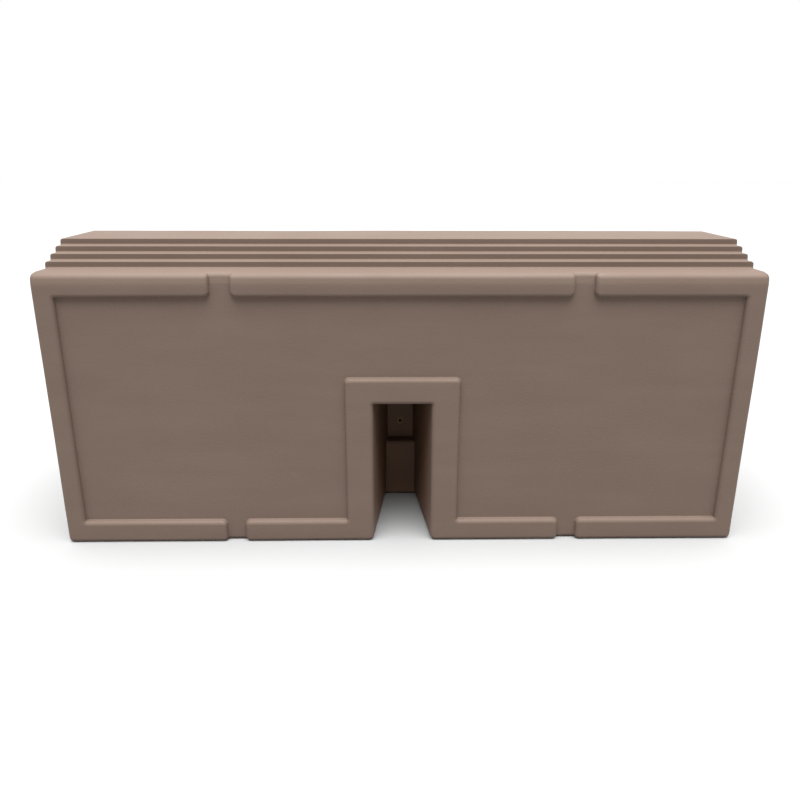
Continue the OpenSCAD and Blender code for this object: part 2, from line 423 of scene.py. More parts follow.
def smooth(obj: bpy.types.Object, sharp_degrees: float = 40.0) -> bpy.types.Object:
    """Shades an object smooth between its sharp edges, with large faces kept flat.

    Args:
        obj: the object.
        sharp_degrees: the angle from which an edge stays sharp.
    """
    limit = math.radians(sharp_degrees)
    bm = bmesh.new()
    bm.from_mesh(obj.data)
    for face in bm.faces:
        face.smooth = True
    for edge in bm.edges:
        edge.smooth = len(edge.link_faces) == 2 and edge.calc_face_angle(0.0) < limit
    bm.to_mesh(obj.data)
    bm.free()
    even = obj.modifiers.new("even shading", "WEIGHTED_NORMAL")
    even.keep_sharp = True
    even.weight = 80
    return obj


def round_edges(
    bm: bmesh.types.BMesh, pick: Callable[[bmesh.types.BMEdge], bool], radius: float, segments: int
) -> None:
    """Rounds some edges of a mesh.

    Args:
        bm: the mesh.
        pick: says which edges are rounded.
        radius: the distance of the round from the edge.
        segments: its number of facets.
    """
    edges = [e for e in bm.edges if pick(e)]
    bmesh.ops.bevel(
        bm, geom=edges, offset=radius, offset_type="OFFSET", segments=segments,
        profile=0.5, affect="EDGES", clamp_overlap=True, material=-1,
    )


def is_sharp(edge: bmesh.types.BMEdge, degrees: float = 30.0) -> bool:
    """Says whether two faces meet at an angle at an edge."""
    return len(edge.link_faces) == 2 and edge.calc_face_angle(0.0) > math.radians(degrees)


def cut_planes(
    bm: bmesh.types.BMesh, axis: int, places: Sequence[float], spare_ends: bool = False
) -> None:
    """Cuts a mesh into cells across one axis, without removing anything.

    Args:
        bm: the mesh.
        axis: 0, 1 or 2.
        places: where the planes cross the axis.
        spare_ends: leaves the faces that look along X whole.
    """
    normal = Vector((0.0, 0.0, 0.0))
    normal[axis] = 1.0
    bm.normal_update()
    for place in places:
        faces = [f for f in bm.faces if not spare_ends or abs(f.normal.x) < 0.9]
        edges = {e for f in faces for e in f.edges}
        geometry = [*{v for e in edges for v in e.verts}, *edges, *faces]
        bmesh.ops.bisect_plane(bm, geom=geometry, dist=1e-6, plane_co=normal * place, plane_no=normal)


def push_faces(bm: bmesh.types.BMesh, faces: Sequence[bmesh.types.BMFace], by: Vector) -> None:
    """Extrudes a region of faces by a vector and removes the faces left inside.

    Args:
        bm: the mesh.
        faces: the region.
        by: how far it moves.
    """
    grown = bmesh.ops.extrude_face_region(bm, geom=list(faces))["geom"]
    verts = [v for v in grown if isinstance(v, bmesh.types.BMVert)]
    bmesh.ops.translate(bm, vec=by, verts=verts)
    bmesh.ops.delete(bm, geom=[f for f in faces if f.is_valid], context="FACES_ONLY")


def lathe(
    outline: Sequence[tuple[float, float]], axis: Matrix, steps: int = 96
) -> bmesh.types.BMesh:
    """Spins a closed outline round an axis into a solid ring or a turned piece.

    Args:
        outline: (radius, height) points in order; a radius of 0 lies on the axis.
        axis: places the piece, whose own +Z is the axis.
        steps: facets in a full turn.

    Returns:
        The mesh.
    """
    bm = bmesh.new()
    verts = [bm.verts.new((r, 0.0, z)) for r, z in outline]
    edges = []
    for i, vert in enumerate(verts):
        if max(verts[i - 1].co.x, vert.co.x) > 1e-9:
            edges.append(bm.edges.new((verts[i - 1], vert)))
    bmesh.ops.spin(
        bm, geom=[*verts, *edges], cent=(0.0, 0.0, 0.0), axis=(0.0, 0.0, 1.0),
        angle=math.tau, steps=steps, use_merge=True, use_duplicate=False,
    )
    bmesh.ops.remove_doubles(bm, verts=bm.verts, dist=1e-6)
    bmesh.ops.recalc_face_normals(bm, faces=bm.faces)
    bmesh.ops.transform(bm, matrix=axis, verts=bm.verts)
    return bm


def rounded_outline(
    points: Sequence[tuple[float, float, float]], facets: int = 3
) -> list[tuple[float, float]]:
    """Rounds the corners of an outline with arcs.

    Args:
        points: (radius, height, corner radius), in order round a closed outline.
        facets: facets in each arc.

    Returns:
        The (radius, height) points of the rounded outline.
    """
    result: list[tuple[float, float]] = []
    for i, (r, z, corner) in enumerate(points):
        here = Vector((r, z))
        before = Vector(points[i - 1][:2]) - here
        after = Vector(points[(i + 1) % len(points)][:2]) - here
        if corner <= 0.0:
            result.append((r, z))
            continue
        half = before.angle(after) / 2
        reach = min(corner / math.tan(half), 0.49 * before.length, 0.49 * after.length)
        radius = reach * math.tan(half)
        start = here + before.normalized() * reach
        end = here + after.normalized() * reach
        middle = here + (before.normalized() + after.normalized()).normalized() * (
            radius / math.sin(half)
        )
        for k in range(facets + 1):
            way = (start - middle).slerp(end - middle, k / facets) * radius
            result.append((middle.x + way.x, middle.y + way.y))
    return result


def dress(obj: bpy.types.Object, body: str, nodes: Sequence[str], material: bpy.types.Material) -> None:
    """Gives a piece its body, the CAD nodes it stands for and its material.

    Args:
        obj: the piece.
        body: the CAD body it moves with, or "" for a piece that is attached to no body.
        nodes: the CAD nodes it replaces.
        material: its finish.
    """
    obj.data.materials.clear()
    obj.data.materials.append(material)
    if body:
        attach(obj, body)
    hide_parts(*nodes)
    LOG.info("%s: %d faces, on %s", obj.name, len(obj.data.polygons), body or "two bodies")


@dataclass(frozen=True)
class Bore:
    """A round hole or boss: its frame's +Z leaves the block, and its depths run along it."""

    frame: Matrix
    radius: float
    low: float
    high: float

    def cutter(self) -> bpy.types.Object:
        """Returns the solid cylinder that it stands for."""
        bm = bmesh.new()
        middle = self.frame @ Matrix.Translation((0.0, 0.0, (self.low + self.high) / 2))
        bmesh.ops.create_cone(
            bm, cap_ends=True, segments=96, radius1=self.radius, radius2=self.radius,
            depth=self.high - self.low, matrix=middle,
        )
        return as_object("bore", bm)


# ---- the block ------------------------------------------------------------------------


@dataclass
class Block:
    """The moulded shell."""

    length: float
    depth: float
    height: float
    shoulder_h: float = 0.738
    shoulder_w: float = 0.094
    step_run: float = 0.036
    step_count: int = 4
    relief: float = 0.014
    rail_h: float = 0.063
    post_w: float = 0.054
    rail_gap: float = 0.049
    gap_offset: float = 0.454
    rail_corner: float = 0.015
    notch_w: float = 0.155
    notch_h: float = 0.396
    notch_back_w: float = 0.088
    notch_low_d: float = 0.298
    notch_high_d: float = 0.338
    ledge_z: float = 0.179
    rim_w: float = 0.074
    rim_h: float = 0.070
    passage_w: float = 0.092
    wall: float = 0.0064
    corner_round: float = 0.014
    foot_corner: float = 0.018
    shoulder_round: float = 0.0132
    shoulder_fall: float = 0.003
    shoulder_lean: float = 0.0045
    shoulder_band: float = 0.030
    border_round: float = 0.0112
    base_round: float = 0.012
    end_round: float = 0.0120
    inner_round: float = 0.0024
    nose_round: float = 0.0022
    foot_round: float = 0.002
    rim_corner: float = 0.013
    cell: float = 0.055
    waver: float = 0.0009

    @property
    def step_rise(self) -> float:
        """Height of one riser."""
        return (self.height - self.shoulder_h) / self.step_count

    @property
    def rear_wall_y(self) -> float:
        """Y of the rear notch's back wall."""
        return self.notch_high_d - self.depth / 2 + self.passage_w

    def stair(self, inset: float) -> list[tuple[float, float]]:
        """Returns one side of the stepped outline in Y and Z, from the floor to the top."""
        side = self.depth / 2 - self.relief - inset
        points = [(side, inset), (side, self.shoulder_h - inset)]
        for k in range(self.step_count):
            y = self.depth / 2 - self.shoulder_w - k * self.step_run - inset
            foot = self.shoulder_h + k * self.step_rise - inset
            points += [(y, foot), (y, foot + self.step_rise)]
        return points

    def in_border(self, x: float, z: float, inset: float) -> bool:
        """Says whether a point of a long face lies on its raised border."""
        x = abs(x)
        in_post = x > self.length / 2 - self.post_w + inset
        in_rails = z > self.shoulder_h - self.rail_h + inset or z < self.rail_h - inset
        in_gap = abs(x - self.gap_offset) < self.rail_gap / 2 + inset
        in_rim = x < self.notch_w / 2 + self.rim_w - inset and z < self.notch_h + self.rim_h - inset
        return in_post or in_rim or (in_rails and not in_gap)

    def solid(self, inset: float) -> bmesh.types.BMesh:
        """Builds the block without its notches, as one closed solid.

        Args:
            inset: 0 for the outer skin, or the wall for the space inside.

        Returns:
            The mesh, its coplanar cells joined.
        """
        bm = bmesh.new()
        side = self.stair(inset)
        outline = side + [(-y, z) for y, z in reversed(side)]
        core = self.length / 2 - self.relief - inset
        bm.faces.new([bm.verts.new((-core, y, z)) for y, z in outline])
        push_faces_open(bm, Vector((2 * core, 0.0, 0.0)))
        post = self.length / 2 - self.post_w + inset
        gap = self.rail_gap / 2 + inset
        rim = self.notch_w / 2 + self.rim_w - inset
        window = self.depth / 2 - self.post_w + inset
        rails = (self.rail_h - inset, self.shoulder_h - self.rail_h + inset)
        cut_planes(bm, 1, (-window, window))
        cut_planes(bm, 2, (*rails, self.notch_h + self.rim_h - inset))
        for end in (-1, 1):
            ring = [
                f for f in bm.faces
                if f.normal.x * end > 0.9 and not self._in_window(f.calc_center_median(), inset)
            ]
            push_faces(bm, ring, Vector((end * self.relief, 0.0, 0.0)))
        marks = [post, self.gap_offset - gap, self.gap_offset + gap, rim]
        cut_planes(bm, 0, [s * m for m in marks for s in (-1, 1)])
        bm.normal_update()
        panel = self.depth / 2 - self.relief - inset
        for way in (-1, 1):
            border = []
            for face in bm.faces:
                middle = face.calc_center_median()
                on_face = face.normal.y * way > 0.9 and abs(middle.y * way - panel) < 1e-5
                if on_face and self.in_border(middle.x, middle.z, inset):
                    border.append(face)
            push_faces(bm, border, Vector((0.0, way * self.relief, 0.0)))
        bmesh.ops.remove_doubles(bm, verts=bm.verts, dist=1e-6)
        bmesh.ops.dissolve_limit(
            bm, angle_limit=math.radians(0.5), verts=bm.verts, edges=bm.edges,
            use_dissolve_boundaries=False, delimit=set(),
        )
        bmesh.ops.recalc_face_normals(bm, faces=bm.faces)
        return bm

    def _in_window(self, point: Vector, inset: float) -> bool:
        """Says whether a point of an end face lies in its recessed panel."""
        in_y = abs(point.y) < self.depth / 2 - self.post_w + inset
        return in_y and self.rail_h - inset < point.z < self.shoulder_h - self.rail_h + inset

    def notch(self, depth: float, grow: float, way: int) -> bmesh.types.BMesh:
        """Builds the tapered solid that a notch leaves empty.

        Args:
            depth: from the border's face to the notch's back wall.
            grow: how far the solid stands outside the notch's walls.
            way: 1 for the front notch, -1 for the rear one.
        """
        slope = (self.notch_w - self.notch_back_w) / 2 / self.notch_low_d
        lean = math.hypot(1.0, slope)
        past = 0.01
        bm = bmesh.new()
        corners = []
        for inward, sides in ((-past, (-1, 1)), (depth + grow, (1, -1))):
            half = self.notch_w / 2 - slope * inward + grow * lean
            corners += [(s * half, way * (inward - self.depth / 2), -past) for s in sides]
        bm.faces.new([bm.verts.new(c) for c in corners])
        push_faces_open(bm, Vector((0.0, 0.0, past + self.notch_h + grow)))
        return bm

    def ledge(self, grow: float) -> bmesh.types.BMesh:
        """Builds the block that stays under the front notch's ledge."""
        bm = bmesh.new()
        low = Vector((-self.notch_w, self.notch_low_d + grow - self.depth / 2, -0.02))
        high = Vector((self.notch_w, self.depth / 2, self.ledge_z - grow))
        size = high - low
        frame = Matrix.Translation((low + high) / 2) @ Matrix.Diagonal((*size, 1.0))
        bmesh.ops.create_cube(bm, size=1.0, matrix=frame)
        return bm

    def hollowed(self, name: str, inset: float) -> bpy.types.Object:
        """Returns the block with both notches cut, as an outer skin or the space inside."""
        bm = self.solid(inset)
        self._ease_shoulders(bm, inset)
        body = as_object(name, bm)
        front = as_object("front notch", self.notch(self.notch_high_d, inset, 1))
        carve(front, [as_object("ledge", self.ledge(inset))])
        rear_d = self.depth / 2 - self.rear_wall_y
        rear = as_object("rear notch", self.notch(rear_d, inset, -1))
        carve(body, [front, rear])
        return body

    def edge_radius(self, edge: bmesh.types.BMEdge) -> float:
        """Returns the radius that the mould gives an edge, or 0 where faces are in line."""
        if not is_sharp(edge, 25.0):
            return 0.0
        tiny = 1e-4
        a, b = (v.co for v in edge.verts)
        shoulder = self.shoulder_h - self.shoulder_fall - tiny
        crown = min(a.z, b.z) > shoulder
        if not edge.is_convex:
            at_gap = abs(max(a.z, b.z) - self.shoulder_h + self.shoulder_fall) < self.shoulder_fall
            if at_gap and abs(a.z - b.z) > self.relief / 2:
                return 0.0
            return self.foot_round if crown else self.inner_round
        if max(a.z, b.z) < tiny:
            across = abs(a.y - b.y) > max(abs(a.x - b.x), 0.05)
            at_notch = max(abs(a.x), abs(b.x)) < self.notch_w
            if across:
                return self.foot_corner if at_notch else self.corner_round
            return self.base_round
        far_x = min(abs(a.x), abs(b.x)) > self.length / 2 - tiny
        if crown and far_x:
            on_shoulder = max(a.z, b.z) < self.shoulder_h + tiny
            return self.corner_round if on_shoulder else self.end_round
        brow = self.depth / 2 - self.shoulder_lean - tiny
        if crown and min(abs(a.y), abs(b.y)) > brow:
            return self.shoulder_round
        if crown and min(abs(a.y), abs(b.y)) < brow - self.relief:
            return self.nose_round
        if far_x and max(abs(a.y), abs(b.y)) > brow:
            return self.corner_round
        return self.border_round

    def soften(self, body: bpy.types.Object) -> None:
        """Rounds every edge of the outer skin as the mould does."""
        bm = bmesh.new()
        bm.from_mesh(body.data)
        bmesh.ops.remove_doubles(bm, verts=bm.verts, dist=1e-6)
        bmesh.ops.dissolve_limit(
            bm, angle_limit=math.radians(0.5), verts=bm.verts, edges=bm.edges,
            use_dissolve_boundaries=False, delimit=set(),
        )
        self._round_rail_ends(bm)
        self._support(bm)
        weight = bm.edges.layers.float.get("bevel_weight_edge")
        if weight is None:
            weight = bm.edges.layers.float.new("bevel_weight_edge")
        for edge in bm.edges:
            edge[weight] = self.edge_radius(edge) / self.foot_corner
        bm.to_mesh(body.data)
        bm.free()
        bevel = body.modifiers.new("mould radii", "BEVEL")
        bevel.limit_method = "WEIGHT"
        bevel.width = self.foot_corner
        bevel.offset_type = "OFFSET"
        bevel.segments = 4
        bevel.profile = 0.5
        bevel.use_clamp_overlap = False
        bevel.miter_outer = "MITER_ARC"
        applied(body)

    def _ease_shoulders(self, bm: bmesh.types.BMesh, inset: float) -> None:
        """Tips the shoulders' tops and the faces under them, which widens their rounds.

        Args:
            bm: the block, or the space inside it.
            inset: how far inside the outer skin it lies.
        """
        face, top = self.depth / 2 - inset, self.shoulder_h - inset
        edge_of_band = face - self.shoulder_band
        cut_planes(bm, 1, (-edge_of_band, edge_of_band))
        cut_planes(bm, 2, (top - self.shoulder_band,))
        for vert in bm.verts:
            y, z = abs(vert.co.y), vert.co.z
            if abs(z - top) < 1e-5 and y > face - self.relief - 1e-5:
                vert.co.z -= self.shoulder_fall * (y - edge_of_band) / self.shoulder_band
                vert.co.y -= math.copysign(self.shoulder_lean, vert.co.y)

    def _support(self, bm: bmesh.types.BMesh) -> None:
        """Cuts the large faces near the rails' ends, so that the rounds run out evenly."""
        gap = self.rail_gap / 2
        rim = self.notch_w / 2 + self.rim_w
        past = self.rail_corner + 0.010
        near = [self.gap_offset - gap - past, self.gap_offset, self.gap_offset + gap + past]
        near += [rim - 0.024, rim + 0.014, self.length / 2 - self.post_w - 0.014]
        cut_planes(bm, 0, [s * m for m in near for s in (-1, 1)])
        high = self.shoulder_h - self.rail_h
        rows = (self.rail_h - past, self.rail_h + 0.014, high - 0.014, high + past)
        cut_planes(bm, 2, (*rows, self.notch_h + self.rim_h + 0.014), spare_ends=True)

    def _round_rail_ends(self, bm: bmesh.types.BMesh) -> None:
        """Rounds the corners of the rails' free ends and of the border over each notch."""
        ends = [self.gap_offset + s * self.rail_gap / 2 for s in (-1, 1)]
        heights = [self.rail_h, self.shoulder_h - self.rail_h]

        def is_end(edge: bmesh.types.BMEdge) -> bool:
            """Says whether an edge is the corner of a rail's free end."""
            a, b = (v.co for v in edge.verts)
            along = abs(abs(a.y - b.y) - self.relief) < 1e-4
            at_gap = min(abs(abs(a.x) - e) for e in ends) < 1e-4
            at_rail = min(abs(a.z - h) for h in heights) < 1e-4
            return along and at_gap and at_rail

        def is_rim(edge: bmesh.types.BMEdge) -> bool:
            """Says whether an edge is an upper corner of the border over a notch."""
            a, b = (v.co for v in edge.verts)
            along = abs(abs(a.y - b.y) - self.relief) < 1e-4
            at_side = abs(abs(a.x) - self.notch_w / 2 - self.rim_w) < 1e-4
            return along and at_side and abs(a.z - self.notch_h - self.rim_h) < 1e-4

        round_edges(bm, is_end, self.rail_corner, 5)
        round_edges(bm, is_rim, self.rim_corner, 5)

    def settle(self, body: bpy.types.Object, calm: Sequence[Vector]) -> None:
        """Gives the faces the slight waver of a cooled moulding.

        Args:
            body: the shell.
            calm: places where a fitting sits, which stay true.
        """
        bm = bmesh.new()
        bm.from_mesh(body.data)
        for axis, reach in enumerate((self.length, self.depth, 2 * self.height)):
            count = int(reach / self.cell)
            cut_planes(bm, axis, [(k + 0.5) * self.cell - reach / 2 for k in range(count)])
        bm.normal_update()
        moves = {}
        for vert in bm.verts:
            nearest = min((vert.co - c).length for c in calm)
            ease = min(max((nearest - 0.06) / 0.10, 0.0), 1.0)
            broad = noise.noise(vert.co * 3.1 + Vector((4.0, 1.0, 7.0)))
            close = noise.noise(vert.co * 11.0)
            moves[vert] = vert.normal * (self.waver * ease * (broad + 0.35 * close - 0.5))
        for vert, move in moves.items():
            vert.co += move
            vert.co.x = min(max(vert.co.x, -self.length / 2), self.length / 2)
            vert.co.y = min(max(vert.co.y, -self.depth / 2), self.depth / 2)
            vert.co.z = min(max(vert.co.z, 0.0), self.height)
        bm.to_mesh(body.data)
        bm.free()

    def build(
        self, finishes: Wardrobe, holes: Sequence[Bore], bosses: Sequence[Bore]
    ) -> bpy.types.Object:
        """Builds the hollow shell and dresses it.

        Args:
            finishes: the materials.
            holes: what the fittings leave open in the wall.
            bosses: where plastic stands round a screw or an insert.
        """
        shell = self.hollowed("barrier_shell_moulding", 0.0)
        self.soften(shell)
        space = self.hollowed("space", self.wall)
        carve(space, [boss.cutter() for boss in bosses])
        carve(shell, [space, *[hole.cutter() for hole in holes]])
        self.settle(shell, [hole.frame.translation for hole in holes])
        smooth(shell)
        dress(shell, "block", ["barrier_shell"], finishes[Finish.SHELL])
        return shell


def push_faces_open(bm: bmesh.types.BMesh, by: Vector) -> None:
    """Extrudes a mesh's one face by a vector into a closed prism.

    Args:
        bm: a mesh that holds a single face.
        by: the prism's length and direction.
    """
    grown = bmesh.ops.extrude_face_region(bm, geom=list(bm.faces))["geom"]
    verts = [v for v in grown if isinstance(v, bmesh.types.BMVert)]
    bmesh.ops.translate(bm, vec=by, verts=verts)
    bmesh.ops.recalc_face_normals(bm, faces=bm.faces)


# ---- fittings -------------------------------------------------------------------------


@dataclass(frozen=True)
class Port:
    """A port's place: its own +Z leaves the block, and its +X runs to the tether's screw."""

    frame: Matrix

    def up(self, height: float) -> Matrix:
        """Returns the frame moved out along the port's axis."""
        return self.frame @ Matrix.Translation((0.0, 0.0, height))

    def along(self, reach: float) -> Matrix:
        """Returns the frame moved towards the tether's screw."""
        return self.frame @ Matrix.Translation((reach, 0.0, 0.0))


@dataclass(frozen=True)
class Thread:
    """A helical thread on a turned wall."""

    pitch: float
    depth: float
    low: float
    high: float
    outward: bool = False

    def shift(self, angle: float, z: float) -> float:
        """Returns how far the wall moves out (or in, for an outside thread) at a point."""
        if not self.low < z < self.high:
            return 0.0
        phase = (z / self.pitch - angle / math.tau) % 1.0
        ridge = min(max(1.35 - abs(phase - 0.5) * 3.6, 0.0), 1.0)
        fade = min((z - self.low) / 0.002, (self.high - z) / 0.002, 1.0)
        if self.outward:
            return self.depth * (1.0 - ridge) * fade
        return -self.depth * (1.0 - ridge * fade)


def cut_thread(bm: bmesh.types.BMesh, radius: float, thread: Thread) -> None:
    """Moves the rings of a turned wall so that they carry a thread.

    Args:
        bm: a mesh still in its own frame, with its axis along +Z.
        radius: radius of the wall.
        thread: the thread.
    """
    rows = int((thread.high - thread.low) / thread.pitch * 9)
    step = (thread.high - thread.low) / rows
    walls = [e for e in bm.edges if _on_wall(e, radius) and abs(e.verts[0].co.z - e.verts[1].co.z) > step]
    geometry = [*walls, *{f for e in walls for f in e.link_faces}, *{v for e in walls for v in e.verts}]
    for k in range(rows + 1):
        place = Vector((0.0, 0.0, thread.low + k * step))
        cut = bmesh.ops.bisect_plane(
            bm, geom=geometry, dist=1e-7, plane_co=place, plane_no=Vector((0.0, 0.0, 1.0))
        )
        geometry = list({*cut["geom"], *cut["geom_cut"]})
    for vert in bm.verts:
        if abs(math.hypot(vert.co.x, vert.co.y) - radius) < 1e-5:
            shift = thread.shift(math.atan2(vert.co.y, vert.co.x), vert.co.z)
            vert.co.x *= (radius + shift) / radius
            vert.co.y *= (radius + shift) / radius


def _on_wall(edge: bmesh.types.BMEdge, radius: float) -> bool:
    """Says whether an edge lies on a turned wall of a radius."""
    return all(abs(math.hypot(v.co.x, v.co.y) - radius) < 1e-5 for v in edge.verts)


def flute(bm: bmesh.types.BMesh, radius: float, count: int, depth: float, low: float, high: float) -> None:
    """Presses grip flutes into an outer wall.

    Args:
        bm: a mesh still in its own frame.
        radius: radius of the wall; only points within 1 mm of it move.
        count: how many flutes.
        depth: how deep each is.
        low: height where the flutes start.
        high: height where they end.
    """
    for vert in bm.verts:
        r = math.hypot(vert.co.x, vert.co.y)
        if abs(r - radius) < MM and low < vert.co.z < high:
            wave = 0.5 - 0.5 * math.cos(count * math.atan2(vert.co.y, vert.co.x))
            fade = min((vert.co.z - low) / 0.003, (high - vert.co.z) / 0.003, 1.0)
            vert.co.x *= 1.0 - depth * wave ** 2 * fade / r
            vert.co.y *= 1.0 - depth * wave ** 2 * fade / r


def scaled(points: Sequence[tuple[float, float, float]]) -> list[tuple[float, float]]:
    """Rounds an outline given in millimetres and returns it in metres."""
    return [(r * MM, z * MM) for r, z in rounded_outline(points)]


@dataclass
class FillFitting:
    """Threaded neck welded into the shoulder, with its screw cap and gasket. Millimetres."""

    neck_r: float = 25.0
    neck_l: float = 18.0
    bore_r: float = 20.0
    flange_r: float = 34.0
    flange_t: float = 4.0
    tail: float = 14.4
    tail_r: float = 25.9
    cap_r: float = 31.0
    skirt_v: float = 5.5
    ceiling_v: float = 25.0
    top_v: float = 29.0
    post_r: float = 10.0
    post_l: float = 2.8
    head_r: float = 15.0
    head_t: float = 4.0
    pitch: float = 5.0

    def neck(self, port: Port) -> bmesh.types.BMesh:
        """Builds the flange, with its weld bead, and the threaded neck."""
        top = self.flange_t + self.neck_l
        outline = scaled([
            (self.bore_r, -self.tail, 0.8), (self.tail_r, -self.tail, 1.0),
            (self.tail_r, 0.05, 0.0), (self.flange_r, 0.05, 0.6),
            (self.flange_r, 1.7, 0.7), (self.flange_r - 2.6, self.flange_t, 0.9),
            (self.neck_r + 1.3, self.flange_t, 0.8), (self.neck_r, self.flange_t + 1.4, 0.5),
            (self.neck_r, top, 1.0), (self.bore_r, top, 0.6),
        ])
        bm = lathe(outline, Matrix.Identity(4))
        thread = Thread(self.pitch * MM, 1.5 * MM, (self.flange_t + 2.4) * MM, (top - 1.2) * MM)
        cut_thread(bm, self.neck_r * MM, thread)
        bmesh.ops.transform(bm, matrix=port.frame, verts=bm.verts)
        return bm

    def cap(self, port: Port) -> bmesh.types.BMesh:
        """Builds the fluted cap, the post that its tether turns on, and its slotted head."""
        inner = self.neck_r + 0.3
        head = self.top_v + self.post_l
        outline = scaled([
            (inner, self.ceiling_v, 0.5), (inner, self.skirt_v, 0.5),
            (self.cap_r, self.skirt_v, 1.0), (self.cap_r, self.top_v, 1.8),
            (self.cap_r - 4.0, self.top_v, 0.5), (self.cap_r - 4.6, self.top_v - 0.9, 0.4),
            (17.6, self.top_v - 0.9, 0.4), (17.0, self.top_v, 0.4),
            (self.post_r, self.top_v, 0.3), (self.post_r, head, 0.3),
            (self.head_r, head, 0.9), (self.head_r, head + self.head_t, 1.5),
            (6.0, head + self.head_t, 0.6), (5.4, head + self.head_t - 0.7, 0.4),
            (0.0, head + self.head_t - 0.7, 0.0), (0.0, self.ceiling_v, 0.0),
        ])
        bm = lathe(outline, Matrix.Identity(4), 144)
        low, high = (self.skirt_v + 1.2) * MM, (self.top_v - 2.0) * MM
        cut_planes(bm, 2, [low + k * (high - low) / 8 for k in range(9)])
        flute(bm, self.cap_r * MM, 24, 1.5 * MM, low, high)
        thread = Thread(self.pitch * MM, 1.3 * MM, (self.skirt_v + 1.0) * MM, 21.4 * MM, True)
        cut_thread(bm, inner * MM, thread)
        bmesh.ops.transform(bm, matrix=port.frame, verts=bm.verts)
        return bm

    def slots(self, port: Port) -> list[bpy.types.Object]:
        """Builds the cutters of the key slots in the cap's head."""
        top = (self.top_v + self.post_l + self.head_t) * MM
        cutters = []
        for turn in (0.0, 90.0):
            bm = bmesh.new()
            size = Matrix.Diagonal((0.034, 0.0034, 0.0036, 1.0))
            place = port.up(top) @ Matrix.Rotation(math.radians(turn), 4, "Z")
            bmesh.ops.create_cube(bm, size=1.0, matrix=place @ size)
            cutters.append(as_object("slot", bm))
        return cutters

    def gasket(self, port: Port) -> bmesh.types.BMesh:
        """Builds the flat gasket with its two sealing beads."""
        low, high = self.flange_t + self.neck_l + 0.05, self.ceiling_v - 0.05
        outline = scaled(gasket_outline(self.bore_r + 0.1, self.neck_r - 0.3, low, high))
        return lathe(outline, port.frame)


def gasket_outline(inner: float, outer: float, low: float, high: float) -> list[tuple[float, float, float]]:
    """Returns a gasket's section with a shallow groove between two beads on each side."""
    middle = (inner + outer) / 2
    reach = (outer - inner) * 0.22
    return [
        (inner, low, 0.7), (middle - reach, low, 0.3), (middle, low + 0.5, 0.3),
        (middle + reach, low, 0.3), (outer, low, 0.7), (outer, high, 0.7),
        (middle + reach, high, 0.3), (middle, high - 0.5, 0.3), (middle - reach, high, 0.3),
        (inner, high, 0.7),
    ]


